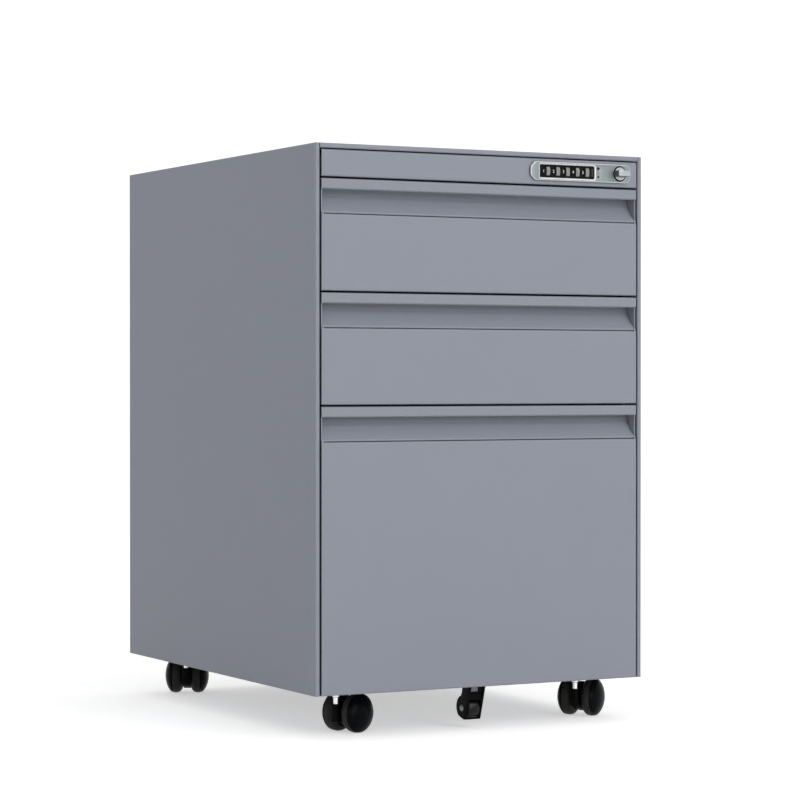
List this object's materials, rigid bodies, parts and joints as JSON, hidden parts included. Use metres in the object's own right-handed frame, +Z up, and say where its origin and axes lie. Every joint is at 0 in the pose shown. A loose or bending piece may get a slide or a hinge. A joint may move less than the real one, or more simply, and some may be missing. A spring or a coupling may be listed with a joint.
{
  "type": "rolling pedestal cabinet",
  "caption": "Steel rolling pedestal cabinet with two box drawers over a file drawer, a combination lock, swivelling twin-wheel casters and an anti-tip roller.",
  "frame": {"origin": "on the floor, bottom centre of the whole object's bounding box, lock knob included", "axes": "+Z up; -Y out of the drawer fronts; +X to the right when facing the drawer fronts"},
  "size_m": [0.39, 0.508, 0.6048],
  "materials": {
    "body_paint": "powder coat, fine texture, satin",
    "front_paint": "powder coat, fine texture, satin",
    "slide_steel": "zinc plated",
    "fastener_steel": "bright zinc",
    "nut_black": "black oxide",
    "lock_casting": "satin nickel plated die casting",
    "lock_case": "moulded black",
    "window_black": "black insert",
    "dial_silver": "silver",
    "knob_metal": "satin",
    "caster_black": "moulded nylon, glossy dome",
    "hood_black": "moulded nylon",
    "axle_steel": "plain"
  },
  "bodies": {
    "cabinet": {"side_panel_left": "body_paint", "side_panel_right": "body_paint", "top_panel": "body_paint", "back_panel": "body_paint", "base_panel": "body_paint", "lock_rail": "front_paint", "slide_uprights": "body_paint", "cabinet_slides": "slide_steel", "caster_plates": "body_paint", "caster_stems": "fastener_steel", "caster_nuts": "nut_black", "lock_bezel": "lock_casting", "lock_window": "window_black", "lock_housing": "lock_case", "dial_shaft": "axle_steel", "bar_guides": "slide_steel"},
    "top_drawer": {"top_drawer_front": "front_paint", "top_drawer_tray": "body_paint", "top_lock_catch": "slide_steel", "top_drawer_slides": "slide_steel"},
    "top_slide_middle": {"top_middle_slides": "slide_steel"},
    "middle_drawer": {"middle_drawer_front": "front_paint", "middle_drawer_tray": "body_paint", "middle_lock_catch": "slide_steel", "middle_drawer_slides": "slide_steel"},
    "middle_slide_middle": {"middle_middle_slides": "slide_steel"},
    "file_drawer": {"file_drawer_front": "front_paint", "file_drawer_tray": "body_paint", "file_lock_catch": "slide_steel", "file_drawer_slides": "slide_steel", "hanging_rails": "slide_steel", "anti_tip_mount": "fastener_steel", "anti_tip_fork": "hood_black", "anti_tip_axle": "axle_steel"},
    "file_slide_middle": {"file_middle_slides": "slide_steel"},
    "anti_tip_roller": {"anti_tip_roller": "caster_black"},
    "dial_1": {"dial_1": "dial_silver"},
    "dial_2": {"dial_2": "dial_silver"},
    "dial_3": {"dial_3": "dial_silver"},
    "dial_4": {"dial_4": "dial_silver"},
    "dial_5": {"dial_5": "dial_silver"},
    "lock_knob": {"lock_knob": "knob_metal", "lock_cam": "fastener_steel"},
    "lock_bar": {"lock_bar": "slide_steel"},
    "caster_front_left": {"caster_front_left_hood": "hood_black", "caster_front_left_axle": "axle_steel"},
    "caster_front_left_wheel_a": {"caster_front_left_wheel_a": "caster_black"},
    "caster_front_left_wheel_b": {"caster_front_left_wheel_b": "caster_black"},
    "caster_front_right": {"caster_front_right_hood": "hood_black", "caster_front_right_axle": "axle_steel"},
    "caster_front_right_wheel_a": {"caster_front_right_wheel_a": "caster_black"},
    "caster_front_right_wheel_b": {"caster_front_right_wheel_b": "caster_black"},
    "caster_rear_left": {"caster_rear_left_hood": "hood_black", "caster_rear_left_axle": "axle_steel"},
    "caster_rear_left_wheel_a": {"caster_rear_left_wheel_a": "caster_black"},
    "caster_rear_left_wheel_b": {"caster_rear_left_wheel_b": "caster_black"},
    "caster_rear_right": {"caster_rear_right_hood": "hood_black", "caster_rear_right_axle": "axle_steel"},
    "caster_rear_right_wheel_a": {"caster_rear_right_wheel_a": "caster_black"},
    "caster_rear_right_wheel_b": {"caster_rear_right_wheel_b": "caster_black"}
  },
  "joints": [
    {"name": "top_drawer_slide", "type": "slide", "parent": "cabinet", "child": "top_drawer", "axis": [0, -1, 0], "range_m": [0, 0.38]},
    {"name": "top_middle_member_slide", "type": "slide", "parent": "cabinet", "child": "top_slide_middle", "axis": [0, -1, 0], "range_m": [0, 0.1905]},
    {"name": "middle_drawer_slide", "type": "slide", "parent": "cabinet", "child": "middle_drawer", "axis": [0, -1, 0], "range_m": [0, 0.38]},
    {"name": "middle_middle_member_slide", "type": "slide", "parent": "cabinet", "child": "middle_slide_middle", "axis": [0, -1, 0], "range_m": [0, 0.1905]},
    {"name": "file_drawer_slide", "type": "slide", "parent": "cabinet", "child": "file_drawer", "axis": [0, -1, 0], "range_m": [0, 0.4]},
    {"name": "file_middle_member_slide", "type": "slide", "parent": "cabinet", "child": "file_slide_middle", "axis": [0, -1, 0], "range_m": [0, 0.2005]},
    {"name": "anti_tip_roller_spin", "type": "hinge", "parent": "file_drawer", "child": "anti_tip_roller", "pos_m": [0, -0.211, 0.0213], "axis": [1, 0, 0], "continuous": true},
    {"name": "dial_1_turn", "type": "hinge", "parent": "cabinet", "child": "dial_1", "pos_m": [0.0772, -0.235, 0.5857], "axis": [1, 0, 0], "continuous": true},
    {"name": "dial_2_turn", "type": "hinge", "parent": "cabinet", "child": "dial_2", "pos_m": [0.0893, -0.235, 0.5857], "axis": [1, 0, 0], "continuous": true},
    {"name": "dial_3_turn", "type": "hinge", "parent": "cabinet", "child": "dial_3", "pos_m": [0.1014, -0.235, 0.5857], "axis": [1, 0, 0], "continuous": true},
    {"name": "dial_4_turn", "type": "hinge", "parent": "cabinet", "child": "dial_4", "pos_m": [0.1135, -0.235, 0.5857], "axis": [1, 0, 0], "continuous": true},
    {"name": "dial_5_turn", "type": "hinge", "parent": "cabinet", "child": "dial_5", "pos_m": [0.1256, -0.235, 0.5857], "axis": [1, 0, 0], "continuous": true},
    {"name": "lock_knob_turn", "type": "hinge", "parent": "cabinet", "child": "lock_knob", "pos_m": [0.1656, -0.241, 0.5857], "axis": [0, -1, 0], "range_deg": [0, 90]},
    {"name": "lock_bar_lift", "type": "slide", "parent": "cabinet", "child": "lock_bar", "axis": [0, 0, 1], "range_m": [0, 0.0094]},
    {"name": "caster_front_left_swivel", "type": "hinge", "parent": "cabinet", "child": "caster_front_left", "pos_m": [-0.145, -0.187, 0.03], "axis": [0, 0, 1], "continuous": true},
    {"name": "caster_front_left_wheel_a_spin", "type": "hinge", "parent": "caster_front_left", "child": "caster_front_left_wheel_a", "pos_m": [-0.12785, -0.18007, 0.0205], "axis": [0.3746, -0.9272, 0], "continuous": true},
    {"name": "caster_front_left_wheel_b_spin", "type": "hinge", "parent": "caster_front_left", "child": "caster_front_left_wheel_b", "pos_m": [-0.12785, -0.18007, 0.0205], "axis": [0.3746, -0.9272, 0], "continuous": true},
    {"name": "caster_front_right_swivel", "type": "hinge", "parent": "cabinet", "child": "caster_front_right", "pos_m": [0.145, -0.187, 0.03], "axis": [0, 0, 1], "continuous": true},
    {"name": "caster_front_right_wheel_a_spin", "type": "hinge", "parent": "caster_front_right", "child": "caster_front_right_wheel_a", "pos_m": [0.15958, -0.17561, 0.0205], "axis": [0.6157, -0.788, 0], "continuous": true},
    {"name": "caster_front_right_wheel_b_spin", "type": "hinge", "parent": "caster_front_right", "child": "caster_front_right_wheel_b", "pos_m": [0.15958, -0.17561, 0.0205], "axis": [0.6157, -0.788, 0], "continuous": true},
    {"name": "caster_rear_left_swivel", "type": "hinge", "parent": "cabinet", "child": "caster_rear_left", "pos_m": [-0.145, 0.204, 0.03], "axis": [0, 0, 1], "continuous": true},
    {"name": "caster_rear_left_wheel_a_spin", "type": "hinge", "parent": "caster_rear_left", "child": "caster_rear_left_wheel_a", "pos_m": [-0.13631, 0.22033, 0.0205], "axis": [0.8829, -0.4695, 0], "continuous": true},
    {"name": "caster_rear_left_wheel_b_spin", "type": "hinge", "parent": "caster_rear_left", "child": "caster_rear_left_wheel_b", "pos_m": [-0.13631, 0.22033, 0.0205], "axis": [0.8829, -0.4695, 0], "continuous": true},
    {"name": "caster_rear_right_swivel", "type": "hinge", "parent": "cabinet", "child": "caster_rear_right", "pos_m": [0.145, 0.204, 0.03], "axis": [0, 0, 1], "continuous": true},
    {"name": "caster_rear_right_wheel_a_spin", "type": "hinge", "parent": "caster_rear_right", "child": "caster_rear_right_wheel_a", "pos_m": [0.16238, 0.21033, 0.0205], "axis": [0.342, -0.9397, 0], "continuous": true},
    {"name": "caster_rear_right_wheel_b_spin", "type": "hinge", "parent": "caster_rear_right", "child": "caster_rear_right_wheel_b", "pos_m": [0.16238, 0.21033, 0.0205], "axis": [0.342, -0.9397, 0], "continuous": true}
  ],
  "couplings": [
    {"joint": "top_middle_member_slide", "follows": "top_drawer_slide", "ratio": 0.5},
    {"joint": "middle_middle_member_slide", "follows": "middle_drawer_slide", "ratio": 0.5},
    {"joint": "file_middle_member_slide", "follows": "file_drawer_slide", "ratio": 0.5},
    {"joint": "lock_bar_lift", "follows": "lock_knob_turn", "m_per_rad": 0.005762}
  ]
}
